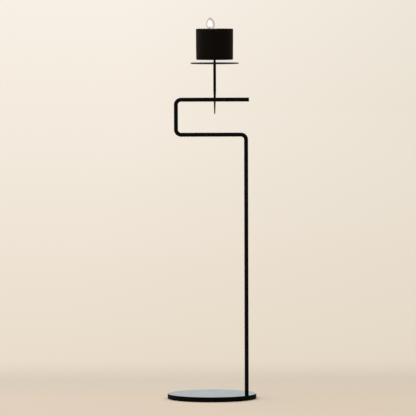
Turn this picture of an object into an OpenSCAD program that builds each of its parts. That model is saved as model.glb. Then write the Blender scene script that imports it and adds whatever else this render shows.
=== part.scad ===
// Floor candle stand: a round base, one bent tube and a lift-off candle holder.
// The holder's tapered pin drops through a bush in the upper arm.
// Millimetres, +Z up. The origin is the centre of the base, on the floor.
// The pole and every bend lie in the XZ plane, which is the stand's front view.

/* [Base] */
// Diameter of the round base plate
base_d = 350; // [320:1:460]
// Thickness of the base plate
base_t = 18; // [16:0.5:30]
// Rounding of the base plate's rim
base_edge = 1.5; // [0.5:0.1:4]
// Number of glides under the base
glide_count = 4; // [3:1:8]
// Diameter of each glide
glide_d = 30; // [16:1:36]
// How far the glides stand below the base plate
glide_proud = 2; // [1:0.5:6]
// Depth of the glides' pockets in the base plate
glide_pocket = 1.5; // [0.5:0.1:4]
// Distance from the rim to the edge of a glide
glide_inset = 10; // [5:1:30]

/* [Tube] */
// Outside diameter of the bent tube
tube_d = 16; // [15.5:0.5:22]
// Wall thickness of the bent tube
tube_wall = 1.5; // [1:0.1:1.9]
// Radius of the bends, at the tube's centre line
bend_r = 20; // [18:1:50]
// Distance of the pole's centre line from the base plate's rim
pole_inset = 38; // [30:1:100]
// Height of the lower arm's centre line above the floor
lower_arm_z = 1042; // [600:1:1300]
// Distance between the centre lines of the two arms
arm_gap = 138; // [90:1:240]
// Distance between the centre lines of the pole and the upright
arm_span = 276; // [180:1:400]
// How far the upper arm runs past the pole's centre line
arm_overhang = 12; // [-60:1:80]
// Thickness of the end plug's head
plug_head = 1.5; // [1:0.1:4]
// Length of the end plug's stem
plug_stem = 9; // [5:1:20]

/* [Foot joint] */
// Depth of the pocket that holds the tube's foot in the base plate
foot_pocket = 2; // [0.5:0.1:4]
// Length of the threaded insert in the tube's foot
insert_len = 30; // [26:1:60]
// Diameter of the foot bolt's shank
bolt_d = 8; // [6:1:9]
// Length of the foot bolt under its head
bolt_len = 30; // [25:1:34]
// Diameter of the foot bolt's head
bolt_head_d = 13; // [12:0.5:16]
// Height of the foot bolt's head
bolt_head_h = 8; // [4:0.5:8.5]
// Size across the flats of the foot bolt's hexagon socket
bolt_socket = 6; // [4:0.5:7]
// Depth of the foot bolt's hexagon socket
bolt_socket_h = 4; // [2:0.5:4]
// Outside diameter of the foot washer
washer_d = 17; // [16:0.5:24]
// Thickness of the foot washer
washer_t = 1.6; // [1:0.1:2.5]
// How deep the bolt's head sits inside the base plate
bolt_recess = 0.9; // [0.2:0.1:1.5]

/* [Holder] */
// Distance of the pin from the pole, measured along the arm
pin_reach = 123; // [60:1:150]
// Diameter of the pin above its taper
pin_d = 11; // [10:0.25:12]
// Diameter of the pin at its lower tip
pin_tip_d = 4.2; // [3:0.1:5]
// Length of the pin's taper
taper_len = 93; // [80:1:110]
// Height of the taper's wide end above the arm
taper_rise = 28; // [24:1:40]
// Height of the drip plate's underside above the arm
plate_rise = 133; // [80:1:220]
// Diameter of the drip plate
plate_d = 190; // [140:1:260]
// Thickness of the drip plate
plate_t = 5; // [3:0.5:8]
// Rounding of the drip plate's rim
plate_edge = 0.8; // [0.2:0.1:1.4]
// Diameter of the bush, above its shoulder
bush_d = 12; // [11.8:0.1:12.4]
// Diameter of the bush's nose, below its shoulder
bush_nose_d = 10.4; // [9.8:0.1:11]
// Rounding of the bush's upper mouth
bush_mouth = 0.5; // [0.2:0.1:1]

/* [Candle] */
// Diameter of the spike at its root
spike_d = 9; // [7:0.5:12]
// Length of the spike's straight root, which shows under the candle
spike_root = 11; // [4:0.5:20]
// Length of the spike above the drip plate
spike_len = 72; // [50:1:90]
// Diameter of the spike's point
spike_tip_d = 1.8; // [1:0.1:3]
// Diameter of the spike's threaded tail
tail_d = 6; // [4:0.5:6.5]
// How deep the spike's tail screws into the pin
tail_len = 16; // [8:1:30]
// Diameter of the candle at its top
candle_d = 147; // [134:0.5:180]
// Diameter of the candle at its foot, where its mould is narrower
candle_foot_d = 145.5; // [130:0.5:180]
// Height of the candle
candle_h = 122; // [90:1:220]
// Rounding of the candle's rims
candle_edge = 3.5; // [1:0.5:6]
// Distance of the wick from the candle's centre
wick_offset = 20; // [12:1:28]
// Diameter of the wick
wick_d = 2.4; // [1.5:0.1:4]
// Height of the wick's lower end above the candle's foot
wick_foot = 6; // [2:1:20]
// Height of the wick above the melt pool's lowest point
wick_stand = 12; // [8:0.5:20]
// Length of the wick's bent, burnt tip
wick_tip = 4; // [2:0.5:8]
// Slope of the wick's bent, burnt tip, in degrees from upright
wick_bend = 40; // [0:5:70]
// Radius of the melt pool around the wick
pool_r = 42; // [20:1:48]
// Depth of the melt pool
pool_depth = 4; // [1:0.5:8]

/* [Fits] */
// Radial clearance of parts that turn or slide in each other
running_gap = 0.05; // [0.02:0.01:0.1]
// Radial clearance of parts that are pressed or dropped into a seat
slip_gap = 0.1; // [0.02:0.01:0.2]

/* [Hidden] */
$fn = 96;

// How far a cut runs past the surface it opens
over = 1;
// How far a tapped hole runs past the end of its screw
tap_relief = 3;

// Heights through the base
base_z = glide_proud;
base_top = base_z + base_t;
foot_z = base_top - foot_pocket;
glide_orbit = base_d / 2 - glide_inset - glide_d / 2;
// The glides stand between the pole and its neighbours, not under it
glide_start = 180 / glide_count;

// Foot joint, from the base plate's underside up
head_z = base_z + bolt_recess;
washer_z = head_z + bolt_head_h;
sink_top = washer_z + washer_t;
bolt_top = washer_z + bolt_len;
bolt_hole_d = bolt_d + 2 * slip_gap;

// Tube route
tube_id = tube_d - 2 * tube_wall;
pole_x = base_d / 2 - pole_inset;
upright_x = pole_x - arm_span;
upper_arm_z = lower_arm_z + arm_gap;
arm_end_x = pole_x + arm_overhang;
tube_end_x = arm_end_x - plug_head;
arm_top = upper_arm_z + tube_d / 2;
plug_d = tube_id - 2 * slip_gap;

// Pin, and the bush that its taper seats in
pin_x = pole_x - pin_reach;
pin_top = arm_top + plate_rise;
taper_top = arm_top + taper_rise;
tip_z = taper_top - taper_len;
tip_r = pin_tip_d / 2;
// The shoulder rests where the bush's edge meets the tube's inner wall
shoulder_drop = sqrt(pow(tube_id / 2, 2) - pow(bush_d / 2, 2));
shoulder_z = upper_arm_z - shoulder_drop + running_gap;

// Drip plate, spike and candle
plate_top = pin_top + plate_t;
candle_z = plate_top + spike_root;
spike_tip_r = spike_tip_d / 2;
tapped_depth = tail_len + tap_relief;
// A ball of this radius cuts a dish of the pool's radius and depth
pool_ball_r = (pow(pool_r, 2) + pow(pool_depth, 2)) / (2 * pool_depth);
wick_top = candle_h - pool_depth + wick_stand;

// A disc standing on z = 0, with both rims rounded
module rounded_disc(d, h, edge) {
    rotate_extrude() {
        square([d / 2 - edge, h]);
        translate([0, edge])
            square([d / 2, h - 2 * edge]);
        for (y = [edge, h - edge])
            translate([d / 2 - edge, y])
                circle(edge, $fn = 48);
    }
}

// The candle's outer form: a slightly tapered block with both rims rounded
module candle_block() {
    rotate_extrude() {
        foot_r = candle_foot_d / 2;
        top_r = candle_d / 2;
        shoulder = candle_h - candle_edge;
        polygon([
            [0, 0], [foot_r - candle_edge, 0], [foot_r, candle_edge],
            [top_r, shoulder], [top_r - candle_edge, candle_h], [0, candle_h]
        ]);
        translate([foot_r - candle_edge, candle_edge])
            circle(candle_edge, $fn = 48);
        translate([top_r - candle_edge, shoulder])
            circle(candle_edge, $fn = 48);
    }
}

// Places its children at each glide
module at_glides() {
    for (i = [0 : glide_count - 1])
        rotate(glide_start + 360 / glide_count * i)
            translate([glide_orbit, 0, 0])
                children();
}

// A round rod through one bend, from the angle start to start + 90 in the XZ plane
module bend(d, x, z, start) {
    translate([x, 0, z])
        rotate([90, 0, 0])
            rotate(start)
                rotate_extrude(angle = 90)
                    translate([bend_r, 0])
                        circle(d = d, $fn = 48);
}

// A round rod upright at x, from z = low to z = high
module upright_rod(d, x, low, high) {
    translate([x, 0, low])
        cylinder(d = d, h = high - low);
}

// A round rod along X at the height z, from x = left to x = right
module level_rod(d, z, left, right) {
    translate([left, 0, z])
        rotate([0, 90, 0])
            cylinder(d = d, h = right - left);
}

// A rod of diameter d along the tube's whole route, extended at both open ends
module tube_route(d, extend) {
    upright_rod(d, pole_x, foot_z - extend, lower_arm_z - bend_r);
    bend(d, pole_x - bend_r, lower_arm_z - bend_r, 0);
    level_rod(d, lower_arm_z, upright_x + bend_r, pole_x - bend_r);
    bend(d, upright_x + bend_r, lower_arm_z + bend_r, 180);
    upright_rod(d, upright_x, lower_arm_z + bend_r, upper_arm_z - bend_r);
    bend(d, upright_x + bend_r, upper_arm_z - bend_r, 90);
    level_rod(d, upper_arm_z, upright_x + bend_r, tube_end_x + extend);
}

// The pin's tapered end with its round tip, made wider all round by grow
module taper(grow) {
    translate([pin_x, 0, tip_z + tip_r])
        cylinder(r1 = tip_r + grow, r2 = pin_d / 2 + grow, h = taper_len - tip_r);
}

// The spike above the drip plate, made wider all round by grow
module spike_form(grow) {
    point_z = plate_top + spike_len - spike_tip_r;
    translate([pin_x, 0, plate_top])
        cylinder(d = spike_d + 2 * grow, h = spike_root);
    translate([pin_x, 0, candle_z])
        cylinder(r1 = spike_d / 2 + grow, r2 = spike_tip_r + grow, h = point_z - candle_z);
    translate([pin_x, 0, point_z])
        sphere(spike_tip_r + grow, $fn = 32);
}

// Places its children at the wick, from the candle's foot up
module at_wick() {
    translate([pin_x - wick_offset, 0, candle_z])
        children();
}

module base_plate() {
    color("#15171a")
        difference() {
            translate([0, 0, base_z])
                rounded_disc(base_d, base_t, base_edge);
            // Pocket for the tube's foot, hole for the bolt, and its counterbore
            translate([pole_x, 0, foot_z])
                cylinder(d = tube_d + 2 * slip_gap, h = foot_pocket + over);
            translate([pole_x, 0, base_z])
                cylinder(d = bolt_hole_d, h = base_t);
            translate([pole_x, 0, base_z - over])
                cylinder(d = washer_d + 2 * slip_gap, h = sink_top - base_z + over);
            at_glides()
                translate([0, 0, base_z - over])
                    cylinder(d = glide_d + 2 * slip_gap, h = glide_pocket + over);
        }
}

module base_glides() {
    color("#1c1c1e")
        at_glides()
            cylinder(d = glide_d, h = glide_proud + glide_pocket);
}

module foot_bolt() {
    color("#8d9094")
        translate([pole_x, 0, 0])
            difference() {
                union() {
                    translate([0, 0, head_z])
                        cylinder(d = bolt_head_d, h = bolt_head_h);
                    translate([0, 0, washer_z])
                        cylinder(d = bolt_d, h = bolt_len);
                }
                translate([0, 0, head_z - over])
                    cylinder(d = bolt_socket / cos(30), h = bolt_socket_h + over, $fn = 6);
            }
}

module foot_washer() {
    color("#a6a9ad")
        translate([pole_x, 0, washer_z])
            difference() {
                cylinder(d = washer_d, h = washer_t);
                translate([0, 0, -over])
                    cylinder(d = bolt_hole_d, h = washer_t + 2 * over);
            }
}

module foot_insert() {
    color("#6f7276")
        translate([pole_x, 0, foot_z])
            difference() {
                cylinder(d = plug_d, h = insert_len);
                translate([0, 0, -over])
                    cylinder(d = bolt_hole_d, h = bolt_top - foot_z + tap_relief + over);
            }
}

module bent_tube() {
    color("#0e0f10")
        difference() {
            tube_route(tube_d, 0);
            tube_route(tube_id, over);
            // The upper wall's hole passes the bush, the lower wall's only its nose
            translate([pin_x, 0, upper_arm_z])
                cylinder(d = bush_d + 2 * running_gap, h = tube_d / 2 + over);
            translate([pin_x, 0, upper_arm_z - tube_d / 2 - over])
                cylinder(d = bush_nose_d + 2 * running_gap, h = tube_d / 2 + over);
        }
}

module arm_end_plug() {
    color("#101112") {
        level_rod(tube_d, upper_arm_z, tube_end_x, arm_end_x);
        level_rod(plug_d, upper_arm_z, tube_end_x - plug_stem, tube_end_x);
    }
}

module seat_bush() {
    mouth_r = pin_d / 2 + running_gap - (pin_d / 2 - tip_r) * taper_rise / (taper_len - tip_r);
    color("#1a1a1c")
        difference() {
            translate([pin_x, 0, 0]) {
                translate([0, 0, shoulder_z])
                    cylinder(d = bush_d, h = arm_top - shoulder_z);
                translate([0, 0, arm_top - tube_d])
                    cylinder(d = bush_nose_d, h = shoulder_z - arm_top + tube_d);
            }
            taper(running_gap);
            // Chamfered mouth that leads the pin in
            translate([pin_x, 0, arm_top - bush_mouth])
                cylinder(r1 = mouth_r, r2 = mouth_r + bush_mouth, h = bush_mouth);
        }
}

module holder_pin() {
    color("#0e0f10")
        difference() {
            union() {
                taper(0);
                translate([pin_x, 0, tip_z + tip_r])
                    sphere(tip_r, $fn = 48);
                translate([pin_x, 0, taper_top])
                    cylinder(d = pin_d, h = pin_top - taper_top);
            }
            translate([pin_x, 0, pin_top - tapped_depth])
                cylinder(d = tail_d + 2 * slip_gap, h = tapped_depth + over);
        }
}

module drip_plate() {
    color("#121314")
        translate([pin_x, 0, pin_top])
            difference() {
                rounded_disc(plate_d, plate_t, plate_edge);
                translate([0, 0, -over])
                    cylinder(d = tail_d + 2 * slip_gap, h = plate_t + 2 * over);
            }
}

module candle_spike() {
    color("#131415") {
        spike_form(0);
        translate([pin_x, 0, pin_top - tail_len])
            cylinder(d = tail_d, h = tail_len + plate_t);
    }
}

module candle_wax() {
    color("#17130f")
        difference() {
            translate([pin_x, 0, candle_z])
                candle_block();
            at_wick() {
                // The dish that the flame has melted
                translate([0, 0, candle_h - pool_depth + pool_ball_r])
                    sphere(pool_ball_r, $fn = 180);
                translate([0, 0, wick_foot])
                    cylinder(d = wick_d + 2 * slip_gap, h = candle_h, $fn = 32);
            }
            // The hole that the spike has made
            spike_form(slip_gap);
        }
}

module wick() {
    bend_z = wick_top - wick_tip;
    color("#2b2620")
        at_wick() {
            translate([0, 0, wick_foot])
                cylinder(d = wick_d, h = bend_z - wick_foot, $fn = 32);
            translate([0, 0, bend_z])
                sphere(d = wick_d, $fn = 32);
            translate([0, 0, bend_z])
                rotate([0, wick_bend, 0])
                    cylinder(d = wick_d, h = wick_tip, $fn = 32);
        }
}

base_plate();
base_glides();
foot_bolt();
foot_washer();
foot_insert();
bent_tube();
arm_end_plug();
seat_bush();
holder_pin();
drip_plate();
candle_spike();
candle_wax();
wick();
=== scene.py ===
import math
from collections import namedtuple

import bmesh
import bpy
from mathutils import Matrix, Vector, noise


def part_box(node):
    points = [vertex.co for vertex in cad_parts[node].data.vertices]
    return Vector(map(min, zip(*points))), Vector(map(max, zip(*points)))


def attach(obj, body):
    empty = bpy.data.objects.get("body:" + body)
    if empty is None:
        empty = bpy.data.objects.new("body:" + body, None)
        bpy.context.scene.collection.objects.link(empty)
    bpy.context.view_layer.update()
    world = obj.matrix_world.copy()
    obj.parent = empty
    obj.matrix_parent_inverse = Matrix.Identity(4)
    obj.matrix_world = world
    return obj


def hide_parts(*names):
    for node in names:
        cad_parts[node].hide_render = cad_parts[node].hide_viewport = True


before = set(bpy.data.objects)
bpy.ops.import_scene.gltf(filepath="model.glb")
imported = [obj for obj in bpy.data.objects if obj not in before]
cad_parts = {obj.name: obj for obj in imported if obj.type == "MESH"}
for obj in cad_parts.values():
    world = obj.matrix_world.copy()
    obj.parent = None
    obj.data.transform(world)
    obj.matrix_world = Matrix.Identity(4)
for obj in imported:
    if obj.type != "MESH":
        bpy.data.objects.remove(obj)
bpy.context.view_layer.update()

MM = 0.001


def srgb(r, g, b, alpha=1.0):
    """A colour given as 0 to 255 on a screen, as the linear values that Blender takes."""
    def linear(v):
        v /= 255
        return v / 12.92 if v <= 0.04045 else ((v + 0.055) / 1.055) ** 2.4
    return (linear(r), linear(g), linear(b), alpha)


def grey(value):
    """A grey in linear values."""
    return (value, value, value, 1)


# ---------------------------------------------------------------- sizes from the frame
WAX_LOW, WAX_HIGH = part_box("candle_wax")
WICK_LOW, WICK_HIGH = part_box("wick")
SPIKE_LOW, SPIKE_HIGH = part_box("candle_spike")
_, BASE_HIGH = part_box("base_plate")
CANDLE_AXIS = Vector((SPIKE_LOW.x + SPIKE_HIGH.x, SPIKE_LOW.y + SPIKE_HIGH.y, 0)) / 2
CANDLE_R = (WAX_HIGH.x - WAX_LOW.x) / 2
SPIKE_R = (SPIKE_HIGH.x - SPIKE_LOW.x) / 2
WICK_R = (WICK_HIGH.y - WICK_LOW.y) / 2
WICK_AXIS = Vector((WICK_LOW.x + WICK_R, 0, 0))

# ---------------------------------------------------------------- the candle
CANDLE_DRAFT = 0.75 * MM          # how much narrower the candle's radius is at its foot
CANDLE_EDGE = 3.5 * MM            # rounding of its rims
FOOT_R = CANDLE_R - CANDLE_DRAFT
SPIKE_TIP_R = 0.9 * MM
SPIKE_GAP = 0.1 * MM              # between the spike and its hole in the wax
SIDE_WAVE = 0.16 * MM             # slow unevenness of the poured side
SIDE_WAVE_RATES = (1.6, 9)        # how fast it changes round the candle and along its height
SIDE_GRAIN = 0.05 * MM            # fine unevenness of it
SIDE_GRAIN_RATES = (7, 30)
TOP_UNEVEN = 0.25 * MM            # unevenness of the top
TOP_RATE = 45
TOP_SLICE = 0.3                   # height of the slice of noise that it takes
CANDLE_SIDES = 224                # points in each ring
HOLE_SHARES = (0.02, 0.25, 0.5, 0.75, 1.0)
FOOT_SHARES = (0.1, 0.3, 0.6, 0.9, 0.98)
EDGE_STEPS = 7
SIDE_STEPS = 30
TOP_STEPS = 46

# ---------------------------------------------------------------- the melted pool
POOL_R = 42 * MM                  # the dish that the flame has melted
POOL_DEPTH = 4 * MM
POOL_WANDER = 0.05                # how far the dish's edge strays, as a share of its radius
POOL_RATE = 30                    # how fast it does so
POOL_SLOPE = 1.4                  # a larger value makes the dish flatter at its edge
POOL_LEVEL = 1.1 * MM             # liquid wax stands this far below the candle's rim
POOL_SINK = 0.3 * MM              # and reaches this far into the wax
POOL_SIDES = 128
SHORE_HALVINGS = 24
POOL_START = 0.9 * WICK_R         # the liquid starts just inside the wick's skin
BED_SHARES = (0.0, 0.3, 0.6, 0.85, 1.01)
POOL_RISES = (                    # share of the way to the shore, and how far the liquid is drawn up
    (1.0, 0.25 * MM),
    (0.985, 0.12 * MM),
    (0.95, 0.02 * MM),
    (0.7, 0),
    (0.4, 0),
    (0.12, 0.02 * MM),
    (0.03, 0.2 * MM),
)
WICK_RISE = 0.4 * MM              # how far the wick draws it up

# ---------------------------------------------------------------- the wick
STRANDS = 3
STRAND_R = 0.56 * WICK_R
STRAND_SIDES = 10
STRAND_STEPS = 60
STRAND_PITCH = 5 * MM
STRAND_WINDING = WICK_R - STRAND_R  # radius of the helix that each strand follows
WICK_ROOT = WAX_HIGH.z - 14 * MM  # the braid starts inside the wax
WICK_BEND = WAX_HIGH.z + 3 * MM   # and curls over above this height
WICK_CURL = WICK_HIGH.x - WICK_AXIS.x - WICK_R
CURL_POWER = 1.5                  # a larger value curls it closer to its tip
CHARRED = 3 * MM                  # length of the glowing, thinner tip
TIP_THINNING = 0.35
FRAY = 0.12                       # how much a strand's thickness varies
FRAY_RATES = (2, 900)             # how fast it does so round the strand and along it

# ---------------------------------------------------------------- the flame and its mantle
# Heights are measured from the candle's top, and places along X from the wick.
# A drop is widest at its belly, a share of its height. Its tip leans along X.
# Smaller values of below and above make it stouter below and above its belly.
Drop = namedtuple("Drop", "foot tip radius belly place lean below above")
FLAME = Drop(foot=0.5 * MM, tip=34.5 * MM, radius=9.4 * MM, belly=0.42,
             place=1.9 * MM, lean=-2.4 * MM, below=0.6, above=0.72)
MANTLE = Drop(foot=-5 * MM, tip=43.6 * MM, radius=16.8 * MM, belly=0.46,
              place=4.6 * MM, lean=-1.4 * MM, below=0.45, above=0.62)
DROP_SIDES = 64
DROP_STEPS = 40
MANTLE_FADE = 6 * MM              # the mantle fades out below this height
MANTLE_CROWN = 32 * MM            # and thickens above this one
MANTLE_LEFT = -8 * MM             # it is thin on the left of this place
MANTLE_RIGHT = 12 * MM            # and full on the right of this one
MANTLE_THIN = 0.62

# ---------------------------------------------------------------- studio
CAMERA_PLACE = Vector((-0.0137, -19.0, 1.747))
CAMERA_LENS = 417.8               # focal length and sensor width in mm
CAMERA_SENSOR = 36
CAMERA_PITCH = 2.995              # degrees down from level
CAMERA_ROLL = -0.17
CAMERA_SIGHT = 500.0              # how far it sees

KEY_AZIMUTH = -110                # 0 stands behind the camera, 90 on the right
KEY_ELEVATION = 65
KEY_SOFTNESS = 45
KEY_STRENGTH = 0.567
KEY_COLOUR = (1.0, 0.95, 0.9)

FLOOR_REACH = 60.0
FLOOR_END = 34.2                  # how far the floor runs behind the object
FLOOR_NEAR = -CAMERA_PLACE.y      # its tone is set by FLOOR_NEAR / (FLOOR_NEAR + Y)
SKY_LOW = srgb(242, 233, 220)     # below the horizon, where it meets the floor
SKY_PALE = srgb(246, 238, 227)    # near the horizon
FLOOR_TONES = (                   # far behind the object, near it, in the dip behind it and at its foot: painted shading that lightens far away, with a band of painted shade in the dip behind the object
    (0.35, SKY_LOW),
    (0.916, srgb(231, 218, 200)),
    (0.956, srgb(217, 204, 187)),
    (1.0, srgb(223, 207, 187)),
)
FALLOFF_LEFT = (1.02, 1.02, 1.02, 1)      # floor and backdrop are a little darker on the right: painted shade on the floor, and a dimmer sky on the right
FALLOFF_RIGHT = (0.925, 0.925, 0.90, 1)
FLOOR_FALLOFF = (-0.75, 2.6)      # along X, in metres
SKY_FALLOFF = (-0.0166, 0.0457)   # the same span along the sky's X

SKY_SIDE_LIGHT = (0.85, 0.84, 0.83, 1)
SKY_SIDE_DARK = grey(0.16)
SKY_COOL = (0.92, 1.0, 1.04, 1)   # low behind the object
SKY_TOP = (1.07, 1.085, 1.11, 1)
# Spans over which the sky's colours blend, along the X, Y and Z of a direction
HORIZON_Z = (-0.0326, -0.0089)    # from SKY_LOW to SKY_PALE
BAND_END_Z = (0.05, 0.07)         # from there to the sides and the top
TOP_Z = (0.4, 0.75)
COOL_Y = (0.8, 0.95)
COOL_Z = (0.35, 0.2)
LIT_SIDE = (0.1, 0.9)             # along LIT_TURN * Y - X
LIT_TURN = 0.35

# ---------------------------------------------------------------- finishes
NOISE_SPREAD = (0.3, 0.7)         # most of a noise's values lie between these
RIM_TO_TOP = (1.0 * MM, 0.1 * MM)  # how far below the base's top its gloss begins, and is full
PLATE_WAVE = 5200.0               # radians to the metre, which is a turning ring every 1.2 mm


# ---------------------------------------------------------------- shader helpers
class Nodes:
    """A node tree with the few patterns that the finishes and the world share."""

    def __init__(self, tree, coords):
        self.tree = tree
        self.coords = tree.nodes.new("ShaderNodeTexCoord").outputs[coords]

    def node(self, kind, **values):
        """Adds a node. Each value goes to the node's input of that name, or else to its property."""
        made = self.tree.nodes.new(kind)
        for key, value in values.items():
            if key in made.inputs:
                made.inputs[key].default_value = value
            else:
                setattr(made, key, value)
        return made

    def link(self, a, b):
        self.tree.links.new(a, b)

    def stretched(self, x, y, z):
        """The coordinates scaled by axis, for streaks and brushed lines."""
        mapping = self.node("ShaderNodeMapping", Scale=(x, y, z))
        self.link(self.coords, mapping.inputs["Vector"])
        return mapping.outputs["Vector"]

    def noise(self, scale, detail=3.0, roughness=0.5, vector=None):
        """Clouds of about scale to the metre, with detail finer octaves of that roughness."""
        made = self.node("ShaderNodeTexNoise", Scale=scale, Detail=detail, Roughness=roughness)
        self.link(vector or self.coords, made.inputs["Vector"])
        return made.outputs["Fac"]

    def cells(self, scale):
        """Cones round scattered points, about scale to the metre."""
        made = self.node("ShaderNodeTexVoronoi", Scale=scale)
        self.link(self.coords, made.inputs["Vector"])
        return made.outputs["Distance"]

    def span(self, value, source, target=(0, 1)):
        """Maps value from the source pair to the target pair, and holds it there."""
        made = self.node("ShaderNodeMapRange")
        made.inputs["From Min"].default_value, made.inputs["From Max"].default_value = source
        made.inputs["To Min"].default_value, made.inputs["To Max"].default_value = target
        self.link(value, made.inputs["Value"])
        return made.outputs["Result"]

    def varied(self, noise_value, low, high):
        """A value that wanders between low and high with a noise."""
        return self.span(noise_value, NOISE_SPREAD, (low, high))

    def ramp(self, value, *stops):
        """A colour ramp; each stop is a place and a colour."""
        made = self.node("ShaderNodeValToRGB")
        points = made.color_ramp.elements
        for i, (place, colour) in enumerate(stops):
            point = points[i] if i < 2 else points.new(place)
            point.position = place
            point.color = colour
        self.link(value, made.inputs["Fac"])
        return made.outputs["Color"]

    def mottled(self, noise_value, dark, light):
        """A colour that wanders between dark and light with a noise."""
        low, high = NOISE_SPREAD
        return self.ramp(noise_value, (low, dark), (high, light))

    def maths(self, operation, a, b=0.0):
        """One operation on one or two values, each a number or an output."""
        made = self.node("ShaderNodeMath", operation=operation)
        for socket, value in zip(made.inputs, (a, b)):
            if isinstance(value, (int, float)):
                socket.default_value = value
            else:
                self.link(value, socket)
        return made.outputs["Value"]

    def blend(self, share, first, second):
        """A colour between first and second, each a colour or an output."""
        made = self.tree.nodes.new("ShaderNodeMix")
        made.data_type = "RGBA"
        self.link(share, made.inputs["Factor"])
        first_colour, second_colour = made.inputs[6:8]
        for socket, value in ((first_colour, first), (second_colour, second)):
            if isinstance(value, tuple):
                socket.default_value = value
            else:
                self.link(value, socket)
        return made.outputs[2]        # the colour result

    def mixed(self, share, first, second):
        """A value between first and second."""
        made = self.tree.nodes.new("ShaderNodeMix")
        factor, _, first_value, second_value = made.inputs[:4]
        for socket, output in ((factor, share), (first_value, first), (second_value, second)):
            self.link(output, socket)
        return made.outputs["Result"]

    def times(self, first, second):
        """The product of two colours, channel by channel."""
        made = self.node("ShaderNodeVectorMath", operation="MULTIPLY")
        self.link(first, made.inputs[0])
        self.link(second, made.inputs[1])
        return made.outputs["Vector"]

    def axis(self, letter):
        """The X, Y or Z of the coordinates."""
        made = self.node("ShaderNodeSeparateXYZ")
        self.link(self.coords, made.inputs["Vector"])
        return made.outputs[letter]

    def distance_from(self, line):
        """Distance from the upright line through a point."""
        dx = self.maths("SUBTRACT", self.axis("X"), line.x)
        dy = self.maths("SUBTRACT", self.axis("Y"), line.y)
        squares = self.maths("ADD", self.maths("MULTIPLY", dx, dx), self.maths("MULTIPLY", dy, dy))
        return self.maths("SQRT", squares)


class Surface(Nodes):
    """A Principled material whose detail lies in object coordinates.
    Its sockets are named with _ for a space."""

    def __init__(self, name, **sockets):
        self.mat = bpy.data.materials.new(name)
        self.mat.use_nodes = True
        super().__init__(self.mat.node_tree, "Object")
        self.bsdf = self.tree.nodes["Principled BSDF"]
        self.relief = None
        for socket, value in sockets.items():
            self.bsdf.inputs[socket.replace("_", " ")].default_value = value

    def feed(self, socket, output):
        self.link(output, self.bsdf.inputs[socket])

    def colour(self, output):
        self.feed("Base Color", output)

    def roughness(self, output):
        self.feed("Roughness", output)

    def bump(self, height, distance, strength=1.0):
        """Adds one layer of relief, distance in metres, over the layers before it."""
        made = self.node("ShaderNodeBump", Strength=strength, Distance=distance)
        self.link(height, made.inputs["Height"])
        if self.relief:
            self.link(self.relief, made.inputs["Normal"])
        self.relief = made.outputs["Normal"]
        self.feed("Normal", self.relief)

    def facing(self):
        """0 where the surface faces the eye, 1 at its edge."""
        return self.node("ShaderNodeLayerWeight", Blend=0.5).outputs["Facing"]


# ---------------------------------------------------------------- the finish of each piece
def lacquer():
    """Gloss black lacquer with faint wipe marks on top, and a matt turned rim."""
    s = Surface("base_lacquer", IOR=1.5, Specular_IOR_Level=0.08)
    s.colour(s.mottled(s.noise(9, 4, 0.6), srgb(2, 2, 3), srgb(4, 5, 6)))
    wipes = s.noise(30, 5, 0.65, s.stretched(1, 0.25, 1))
    gloss = s.span(wipes, (0.3, 0.75), (0.06, 0.14))
    matt = s.varied(s.noise(140, 3), 0.75, 0.9)
    begins, full = RIM_TO_TOP
    on_top = s.span(s.axis("Z"), (BASE_HIGH.z - begins, BASE_HIGH.z - full))
    s.roughness(s.mixed(on_top, matt, gloss))
    s.bump(s.noise(160, 2), 0.02 * MM, 0.25)
    s.bump(s.cells(2600), 0.01 * MM, 0.15)
    return s.mat


def powder_coat(name, low, high, grain, gloss):
    """Satin black powder coat, a little cool: fine orange peel, with a roughness that varies."""
    s = Surface(name, IOR=1.5, Specular_IOR_Level=gloss)
    s.colour(s.mottled(s.noise(22, 4, 0.6), srgb(2, 4, 7), srgb(4, 7, 11)))
    s.roughness(s.varied(s.noise(90, 3), low, high))
    s.bump(s.noise(grain, 2), 0.04 * MM, 0.5)
    s.bump(s.noise(grain * 4, 2), 0.015 * MM, 0.4)
    return s.mat


def spun_plate():
    """The drip plate's finish: satin black over faint turning rings."""
    s = Surface("drip_plate_paint", IOR=1.5, Specular_IOR_Level=0.1)
    away = s.distance_from(CANDLE_AXIS)
    s.colour(s.mottled(s.noise(30, 4), srgb(6, 6, 7), srgb(11, 11, 12)))
    s.roughness(s.varied(s.noise(70, 4), 0.2, 0.34))
    rings = s.maths("SINE", s.maths("MULTIPLY", away, PLATE_WAVE))
    s.bump(rings, 0.006 * MM, 0.4)
    s.bump(s.noise(700, 2), 0.02 * MM, 0.3)
    return s.mat


def wax():
    """Dyed black wax: a warm bloom, soft flow marks, and a smoother melted top."""
    s = Surface("candle_wax", IOR=1.44, Specular_IOR_Level=0.08)
    bloom = s.noise(26, 6, 0.65, s.stretched(1, 1, 0.35))
    s.colour(s.ramp(bloom, (0.25, srgb(10, 6, 3)), (0.75, srgb(17, 12, 7))))
    dry = s.varied(s.noise(60, 4, 0.6), 0.55, 0.72)
    soft = s.varied(s.noise(60, 4, 0.6), 0.2, 0.3)
    from_pool = s.span(s.distance_from(WICK_AXIS), (POOL_R * 0.8, POOL_R * 1.2))
    s.roughness(s.mixed(from_pool, soft, dry))
    s.bump(s.noise(45, 5, 0.6, s.stretched(1, 1, 0.3)), 0.25 * MM, 0.35)
    s.bump(s.noise(900, 3), 0.03 * MM, 0.4)
    return s.mat


def liquid_wax():
    """The melted pool: dark, wet and almost flat."""
    s = Surface("liquid_wax", IOR=1.44, Specular_IOR_Level=0.12)
    s.colour(s.mottled(s.noise(60, 3), srgb(12, 8, 5), srgb(24, 17, 11)))
    s.roughness(s.varied(s.noise(25, 2), 0.03, 0.07))
    s.bump(s.noise(70, 2), 0.08 * MM, 0.25)
    return s.mat


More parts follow.
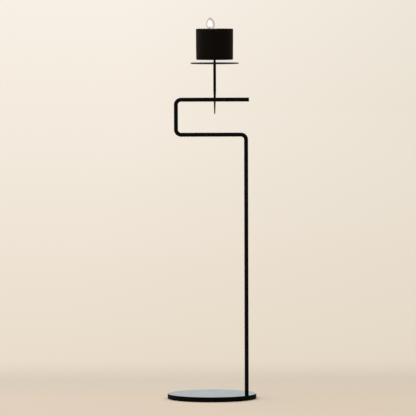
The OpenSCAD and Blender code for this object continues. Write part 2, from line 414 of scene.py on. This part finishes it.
def charred_cotton():
    """Braided cotton, dark and mottled, with a glowing end."""
    s = Surface("charred_wick", Emission_Strength=3.0)
    fibres = s.noise(1400, 4, 0.6)
    s.colour(s.mottled(fibres, srgb(20, 17, 14), srgb(70, 58, 44)))
    s.roughness(s.varied(fibres, 0.75, 0.95))
    ember = s.span(s.axis("Z"), (WICK_HIGH.z - CHARRED, WICK_HIGH.z))
    s.feed("Emission Color", s.ramp(ember, (0.0, grey(0)), (1.0, srgb(255, 110, 30))))
    s.bump(fibres, 0.1 * MM, 0.6)
    return s.mat


def moulded(name, low, high, grain):
    """Matt black moulding or rubber with a fine grain."""
    s = Surface(name, Specular_IOR_Level=0.2)
    s.colour(s.mottled(s.noise(120, 3), low, high))
    s.roughness(s.varied(s.noise(240, 3), 0.6, 0.8))
    s.bump(s.cells(grain), 0.03 * MM, 0.4)
    s.bump(s.noise(grain, 2), 0.02 * MM, 0.3)
    return s.mat


def zinc():
    """Zinc-plated steel with fine turning lines."""
    s = Surface("zinc_steel", Metallic=1.0)
    s.colour(s.mottled(s.noise(260, 4), srgb(150, 152, 156), srgb(196, 198, 202)))
    s.roughness(s.varied(s.noise(500, 4), 0.28, 0.42))
    s.bump(s.noise(900, 3, 0.6, s.stretched(1, 1, 8)), 0.02 * MM, 0.4)
    return s.mat


def glowing(name, strength):
    """A surface that only glows: black, and without any gloss."""
    s = Surface(name, Emission_Strength=strength, Roughness=1.0, Specular_IOR_Level=0.0)
    s.bsdf.inputs["Base Color"].default_value = grey(0)
    return s


def flame_light():
    """The flame: white hot, amber at its skin and tip, thin and dim at its foot."""
    s = glowing("flame", 1.3)
    top = WAX_HIGH.z
    height = s.span(s.axis("Z"), (top + FLAME.foot, top + FLAME.tip))
    height = s.maths("ADD", height, s.maths("MULTIPLY", s.noise(90, 2), 0.06))
    glow = s.ramp(
        height,
        (0.0, (0.10, 0.09, 0.12, 1)),
        (0.14, (0.42, 0.30, 0.16, 1)),
        (0.27, (0.80, 0.66, 0.46, 1)),
        (0.42, (1.0, 0.97, 0.93, 1)),
        (0.86, (1.0, 0.98, 0.94, 1)),
        (1.0, (0.72, 0.54, 0.40, 1)),
    )
    skin = s.span(s.facing(), (0.35, 0.95))
    s.feed("Emission Color", s.blend(skin, glow, (0.66, 0.44, 0.34, 1)))
    s.feed("Alpha", s.span(height, (0.03, 0.38), (0.2, 1.0)))
    return s.mat


def flame_haze():
    """The thin grey mantle of hot gas round the flame, which shows towards its edge."""
    s = glowing("flame_mantle", 1.0)
    s.feed("Emission Color", s.mottled(s.noise(60, 2), srgb(112, 115, 123), srgb(130, 132, 138)))
    veil = s.ramp(s.facing(), (0.15, grey(0)), (0.55, grey(0.55)), (0.8, grey(0.5)), (1.0, grey(0.1)))
    top = WAX_HIGH.z
    height = s.axis("Z")
    crown = s.span(height, (top + MANTLE_CROWN, top + MANTLE.tip), (0, 0.7))
    rising = s.span(height, (top + MANTLE.foot, top + MANTLE_FADE))
    left, right = WICK_AXIS.x + MANTLE_LEFT, WICK_AXIS.x + MANTLE_RIGHT
    across = s.span(s.axis("X"), (left, right), (MANTLE_THIN, 1))
    density = s.maths("MULTIPLY", s.maths("MAXIMUM", veil, crown), rising)
    s.feed("Alpha", s.maths("MULTIPLY", density, across))
    return s.mat


# ---------------------------------------------------------------- mesh helpers
def mesh_object(name, verts, faces, material, smooth=True):
    """A mesh in the scene, with one material."""
    mesh = bpy.data.meshes.new(name)
    mesh.from_pydata([tuple(v) for v in verts], [], faces)
    mesh.update()
    for polygon in mesh.polygons:
        polygon.use_smooth = smooth
    mesh.materials.append(material)
    obj = bpy.data.objects.new(name, mesh)
    bpy.context.scene.collection.objects.link(obj)
    return obj


def skin_rings(name, rings, material):
    """Joins rings of equal length, each a list of points, into one closed skin.
    The first and last rings are single points."""
    verts = [rings[0][0]]
    starts = []
    for ring in rings[1:-1]:
        starts.append(len(verts))
        verts.extend(ring)
    verts.append(rings[-1][0])
    count = len(rings[1])
    faces = []
    for k in range(count):
        after = (k + 1) % count
        faces.append((0, starts[0] + after, starts[0] + k))
        for low, high in zip(starts, starts[1:]):
            faces.append((low + k, low + after, high + after, high + k))
        faces.append((len(verts) - 1, starts[-1] + k, starts[-1] + after))
    obj = mesh_object(name, verts, faces, material)
    work = bmesh.new()
    work.from_mesh(obj.data)
    bmesh.ops.recalc_face_normals(work, faces=work.faces)
    work.to_mesh(obj.data)
    work.free()
    return obj


def polar(centre, radius, angle, z=0.0):
    """The point at a radius and an angle from an upright axis, at height z."""
    return Vector((centre.x + radius * math.cos(angle), centre.y + radius * math.sin(angle), z))


def turns(count):
    """Angles of count points round a circle."""
    return [2 * math.pi * k / count for k in range(count)]


def circle_at(centre, radius, z, count, shift=None):
    """A ring of points round an upright axis; shift(point, angle) may move each."""
    points = [(polar(centre, radius, angle, z), angle) for angle in turns(count)]
    return [shift(point, angle) if shift else point for point, angle in points]


def smoothstep(value, low, high):
    """Rises smoothly from 0 at low to 1 at high, where low may be the larger."""
    t = min(1.0, max(0.0, (value - low) / (high - low)))
    return t * t * (3 - 2 * t)


# ---------------------------------------------------------------- the candle
def dish_height(x, y):
    """Height of the candle's top at x, y: flat, with the melted dish round the wick."""
    from_wick = Vector((x - WICK_AXIS.x, y - WICK_AXIS.y, 0))
    edge = POOL_R * (1 + POOL_WANDER * noise.noise(from_wick * POOL_RATE))
    share = min(1.0, math.hypot(x - WICK_AXIS.x, y - WICK_AXIS.y) / edge)
    dip = POOL_DEPTH * (1 - share * share) ** POOL_SLOPE
    settle = TOP_UNEVEN * noise.noise(Vector((x, y, TOP_SLICE)) * TOP_RATE)
    return WAX_HIGH.z - dip + min(0.0, settle)


def side_noise(angle, z, rates):
    """A noise that closes on itself round the candle."""
    around, along = rates
    return noise.noise(Vector((math.cos(angle) * around, math.sin(angle) * around, z * along)))


def side_wobble(point, angle):
    """Faint unevenness of poured wax on the candle's side."""
    push = SIDE_WAVE * side_noise(angle, point.z, SIDE_WAVE_RATES)
    push += SIDE_GRAIN * side_noise(angle, point.z, SIDE_GRAIN_RATES)
    return point + Vector((math.cos(angle), math.sin(angle), 0)) * push


def settled(point, _angle):
    """Drops a point of the candle's top into the dish, and leaves its rim as it is."""
    away = (point.xy - CANDLE_AXIS.xy).length
    inward = smoothstep(away, CANDLE_R - CANDLE_EDGE, CANDLE_R - 2 * CANDLE_EDGE)
    drop = dish_height(point.x, point.y) - WAX_HIGH.z
    return Vector((point.x, point.y, WAX_HIGH.z + drop * inward))


def candle_ring(radius, z, shift=None):
    return circle_at(CANDLE_AXIS, radius, z, CANDLE_SIDES, shift)


def hole_rings():
    """The spike's hole, from its closed end down to its mouth."""
    end = SPIKE_HIGH.z + SPIKE_GAP
    rings = [[Vector((CANDLE_AXIS.x, CANDLE_AXIS.y, end))]]
    for share in HOLE_SHARES:
        radius = SPIKE_TIP_R + (SPIKE_R - SPIKE_TIP_R) * share + SPIKE_GAP
        rings.append(candle_ring(radius, end + (WAX_LOW.z - end) * share))
    return rings


def foot_rings():
    """The flat underside and the rounding round it."""
    rings = []
    for share in FOOT_SHARES:
        radius = SPIKE_R + (FOOT_R - CANDLE_EDGE - SPIKE_R) * share
        rings.append(candle_ring(radius, WAX_LOW.z))
    for i in range(EDGE_STEPS + 1):
        turn = math.pi / 2 * i / EDGE_STEPS
        radius = FOOT_R - CANDLE_EDGE * (1 - math.sin(turn))
        z = WAX_LOW.z + CANDLE_EDGE * (1 - math.cos(turn))
        underneath = i <= 1               # these rings stay even, as the underside is
        rings.append(candle_ring(radius, z, None if underneath else side_wobble))
    return rings


def side_rings():
    """The side, a little wider towards the top, and the rounding of the upper rim."""
    low, high = WAX_LOW.z + CANDLE_EDGE, WAX_HIGH.z - CANDLE_EDGE
    rings = []
    for i in range(1, SIDE_STEPS):
        share = i / SIDE_STEPS
        rings.append(candle_ring(FOOT_R + CANDLE_DRAFT * share, low + (high - low) * share, side_wobble))
    for i in range(EDGE_STEPS + 1):
        turn = math.pi / 2 * i / EDGE_STEPS
        radius = CANDLE_R - CANDLE_EDGE * (1 - math.cos(turn))
        rings.append(candle_ring(radius, high + CANDLE_EDGE * math.sin(turn), side_wobble))
    return rings


def top_rings():
    """The top with its melted dish, in to its middle."""
    rings = []
    for i in range(1, TOP_STEPS):
        radius = (CANDLE_R - CANDLE_EDGE) * (1 - i / TOP_STEPS)
        rings.append(candle_ring(radius, WAX_HIGH.z, settled))
    middle = dish_height(CANDLE_AXIS.x, CANDLE_AXIS.y)
    rings.append([Vector((CANDLE_AXIS.x, CANDLE_AXIS.y, middle))])
    return rings


def make_candle():
    body = skin_rings("wax_body", hole_rings() + foot_rings() + side_rings() + top_rings(), wax())
    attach(body, "candle")
    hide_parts("candle_wax")


# ---------------------------------------------------------------- the melted pool
def shore(angle, level):
    """How far from the wick the liquid's level meets the dish, found by halving."""
    low, high = 0.0, POOL_R * (1 + 2 * POOL_WANDER)
    for _ in range(SHORE_HALVINGS):
        middle = (low + high) / 2
        at = polar(WICK_AXIS, middle, angle)
        low, high = (middle, high) if dish_height(at.x, at.y) < level else (low, middle)
    return low


def make_pool():
    """Liquid wax lying in the dish, drawn up a little at its edge and at the wick."""
    level = WAX_HIGH.z - POOL_LEVEL
    shores = [(angle, shore(angle, level)) for angle in turns(POOL_SIDES)]

    def ring(share, height):
        points = []
        for angle, reach in shores:
            point = polar(WICK_AXIS, POOL_START + (reach - POOL_START) * share, angle)
            point.z = height(point)
            points.append(point)
        return points

    def bed(point):
        return dish_height(point.x, point.y) - POOL_SINK

    rings = [[Vector((WICK_AXIS.x, WICK_AXIS.y, bed(WICK_AXIS)))]]
    for share in BED_SHARES:
        rings.append(ring(share, bed))
    for share, rise in POOL_RISES:
        rings.append(ring(share, lambda point, rise=rise: level + rise))
    rings.append([Vector((WICK_AXIS.x, WICK_AXIS.y, level + WICK_RISE))])
    pool = skin_rings("liquid_wax", rings, liquid_wax())
    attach(pool, "candle")


# ---------------------------------------------------------------- the wick
def strand_ring(strand, z):
    """Points round one strand at height z, wound round the wick and frayed a little."""
    taper = 1 - TIP_THINNING * smoothstep(z, WICK_HIGH.z - CHARRED, WICK_HIGH.z)
    lean = WICK_CURL * smoothstep(z, WICK_BEND, WICK_HIGH.z) ** CURL_POWER
    turn = 2 * math.pi * (z - WICK_LOW.z) / STRAND_PITCH + 2 * math.pi * strand / STRANDS
    winding = STRAND_WINDING * taper
    centre = Vector((WICK_AXIS.x + lean + winding * math.cos(turn), winding * math.sin(turn), z))
    around, along = FRAY_RATES
    points = []
    for angle in turns(STRAND_SIDES):
        fray = 1 + FRAY * noise.noise(Vector((angle * around, z * along, strand)))
        points.append(polar(centre, STRAND_R * taper * fray, angle, z))
    return points


def make_wick():
    """A braided wick that stands out of the pool and curls over at its charred tip."""
    verts = []
    faces = []
    for strand in range(STRANDS):
        start = len(verts)
        for i in range(STRAND_STEPS + 1):
            verts.extend(strand_ring(strand, WICK_ROOT + (WICK_HIGH.z - WICK_ROOT) * i / STRAND_STEPS))
        for i in range(STRAND_STEPS):
            for k in range(STRAND_SIDES):
                a = start + i * STRAND_SIDES + k
                b = start + i * STRAND_SIDES + (k + 1) % STRAND_SIDES
                faces.append((a, b, b + STRAND_SIDES, a + STRAND_SIDES))
        faces.append(tuple(start + k for k in reversed(range(STRAND_SIDES))))
        faces.append(tuple(start + STRAND_STEPS * STRAND_SIDES + k for k in range(STRAND_SIDES)))
    wick = mesh_object("braided_wick", verts, faces, charred_cotton())
    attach(wick, "candle")
    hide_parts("wick")


# ---------------------------------------------------------------- the flame
def drop_rings(drop):
    """Rings of a rounded drop, closer together at its ends."""
    foot = WAX_HIGH.z + drop.foot
    rise = drop.tip - drop.foot
    x = WICK_AXIS.x + drop.place
    rings = [[Vector((x, 0, foot))]]
    for i in range(1, DROP_STEPS):
        share = (1 - math.cos(math.pi * i / DROP_STEPS)) / 2
        if share < drop.belly:
            width = math.sin(math.pi / 2 * share / drop.belly) ** drop.below
        else:
            width = math.cos(math.pi / 2 * (share - drop.belly) / (1 - drop.belly)) ** drop.above
        centre = Vector((x + drop.lean * share, 0, 0))
        rings.append(circle_at(centre, drop.radius * width, foot + rise * share, DROP_SIDES))
    rings.append([Vector((x + drop.lean, 0, foot + rise))])
    return rings


def make_flame():
    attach(skin_rings("flame", drop_rings(FLAME), flame_light()), "candle")
    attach(skin_rings("flame_mantle", drop_rings(MANTLE), flame_haze()), "candle")


# ---------------------------------------------------------------- finishes on the CAD pieces
def dress(material, *nodes):
    """Gives CAD pieces their finish."""
    for node in nodes:
        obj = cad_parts[node]
        if not obj.material_slots:
            obj.data.materials.append(material)
        for slot in obj.material_slots:
            slot.material = material


def dress_cad_pieces():
    dress(lacquer(), "base_plate")
    dress(moulded("glide_rubber", srgb(20, 20, 21), srgb(34, 34, 35), 1500), "base_glides")
    dress(zinc(), "foot_bolt", "foot_washer", "foot_insert")
    dress(powder_coat("tube_paint", 0.34, 0.46, 650, 0.07), "bent_tube")
    dress(powder_coat("holder_paint", 0.28, 0.38, 800, 0.05), "holder_pin", "candle_spike")
    dress(spun_plate(), "drip_plate")
    dress(moulded("plug_plastic", srgb(7, 7, 8), srgb(12, 12, 13), 2200), "arm_end_plug")
    dress(moulded("bush_plastic", srgb(8, 8, 9), srgb(14, 14, 15), 2200), "seat_bush")


# ---------------------------------------------------------------- studio
def make_floor():
    """A seamless floor whose tone rises with the distance behind the object: painted shading, with a
    band of painted shade behind the object and painted shade towards the right.
    """
    corners = ((-1, -FLOOR_REACH), (1, -FLOOR_REACH), (1, FLOOR_END), (-1, FLOOR_END))
    verts = [(side * FLOOR_REACH, y, 0) for side, y in corners]
    s = Surface("studio_floor", Roughness=0.9, Specular_IOR_Level=0.0)
    ahead = s.maths("ADD", s.axis("Y"), FLOOR_NEAR)
    depth = s.maths("MAXIMUM", ahead, 1.0)        # under and behind the camera too
    # The ramp paints shading into the floor's colour: lighter far away, with a band of painted shade
    # behind the object.
    tone = s.ramp(s.maths("DIVIDE", FLOOR_NEAR, depth), *FLOOR_TONES)
    # Painted shade: the floor's colour darkens towards the right.
    side = s.span(s.axis("X"), FLOOR_FALLOFF)
    s.colour(s.times(tone, s.blend(side, FALLOFF_LEFT, FALLOFF_RIGHT)))
    floor = mesh_object("studio_floor", verts, [(0, 1, 2, 3)], s.mat, smooth=False)


def make_world():
    """A pale band at the horizon, a cool strip low behind, a lit left side and a soft top."""
    world = bpy.data.worlds.new("studio")
    bpy.context.scene.world = world
    world.use_nodes = True
    w = Nodes(world.node_tree, "Generated")
    x, y, z = (w.axis(letter) for letter in "XYZ")
    falloff = w.blend(w.span(x, SKY_FALLOFF), FALLOFF_LEFT, FALLOFF_RIGHT)
    horizon = w.times(w.blend(w.span(z, HORIZON_Z), SKY_LOW, SKY_PALE), falloff)
    lit = w.span(w.maths("SUBTRACT", w.maths("MULTIPLY", y, LIT_TURN), x), LIT_SIDE)
    upper = w.blend(lit, SKY_SIDE_DARK, SKY_SIDE_LIGHT)
    upper = w.blend(w.span(z, TOP_Z), upper, SKY_TOP)
    behind = w.maths("MULTIPLY", w.span(y, COOL_Y), w.span(z, COOL_Z))
    upper = w.blend(behind, upper, SKY_COOL)
    sky = w.blend(w.span(z, BAND_END_Z), horizon, upper)
    w.link(sky, w.tree.nodes["Background"].inputs["Color"])


def make_key_light():
    """A large soft lamp, far off on the left."""
    lamp = bpy.data.lights.new("key_left", "SUN")
    lamp.energy = KEY_STRENGTH
    lamp.angle = math.radians(KEY_SOFTNESS)
    lamp.color = KEY_COLOUR
    obj = bpy.data.objects.new("key_left", lamp)
    a, e = math.radians(KEY_AZIMUTH), math.radians(KEY_ELEVATION)
    source = Vector((math.sin(a) * math.cos(e), -math.cos(a) * math.cos(e), math.sin(e)))
    obj.rotation_mode = "QUATERNION"
    obj.rotation_quaternion = source.to_track_quat("Z", "Y")
    bpy.context.scene.collection.objects.link(obj)


def make_camera():
    data = bpy.data.cameras.new("camera")
    data.sensor_width = CAMERA_SENSOR
    data.lens = CAMERA_LENS
    data.clip_end = CAMERA_SIGHT
    camera = bpy.data.objects.new("camera", data)
    bpy.context.scene.collection.objects.link(camera)
    pitch = Matrix.Rotation(math.radians(90 - CAMERA_PITCH), 4, "X")
    roll = Matrix.Rotation(math.radians(CAMERA_ROLL), 4, "Z")
    camera.matrix_world = Matrix.Translation(CAMERA_PLACE) @ pitch @ roll
    bpy.context.scene.camera = camera


make_camera()
make_world()
make_floor()
make_key_light()
dress_cad_pieces()
make_candle()
make_pool()
make_wick()
make_flame()
bpy.context.scene.view_settings.view_transform = "Standard"
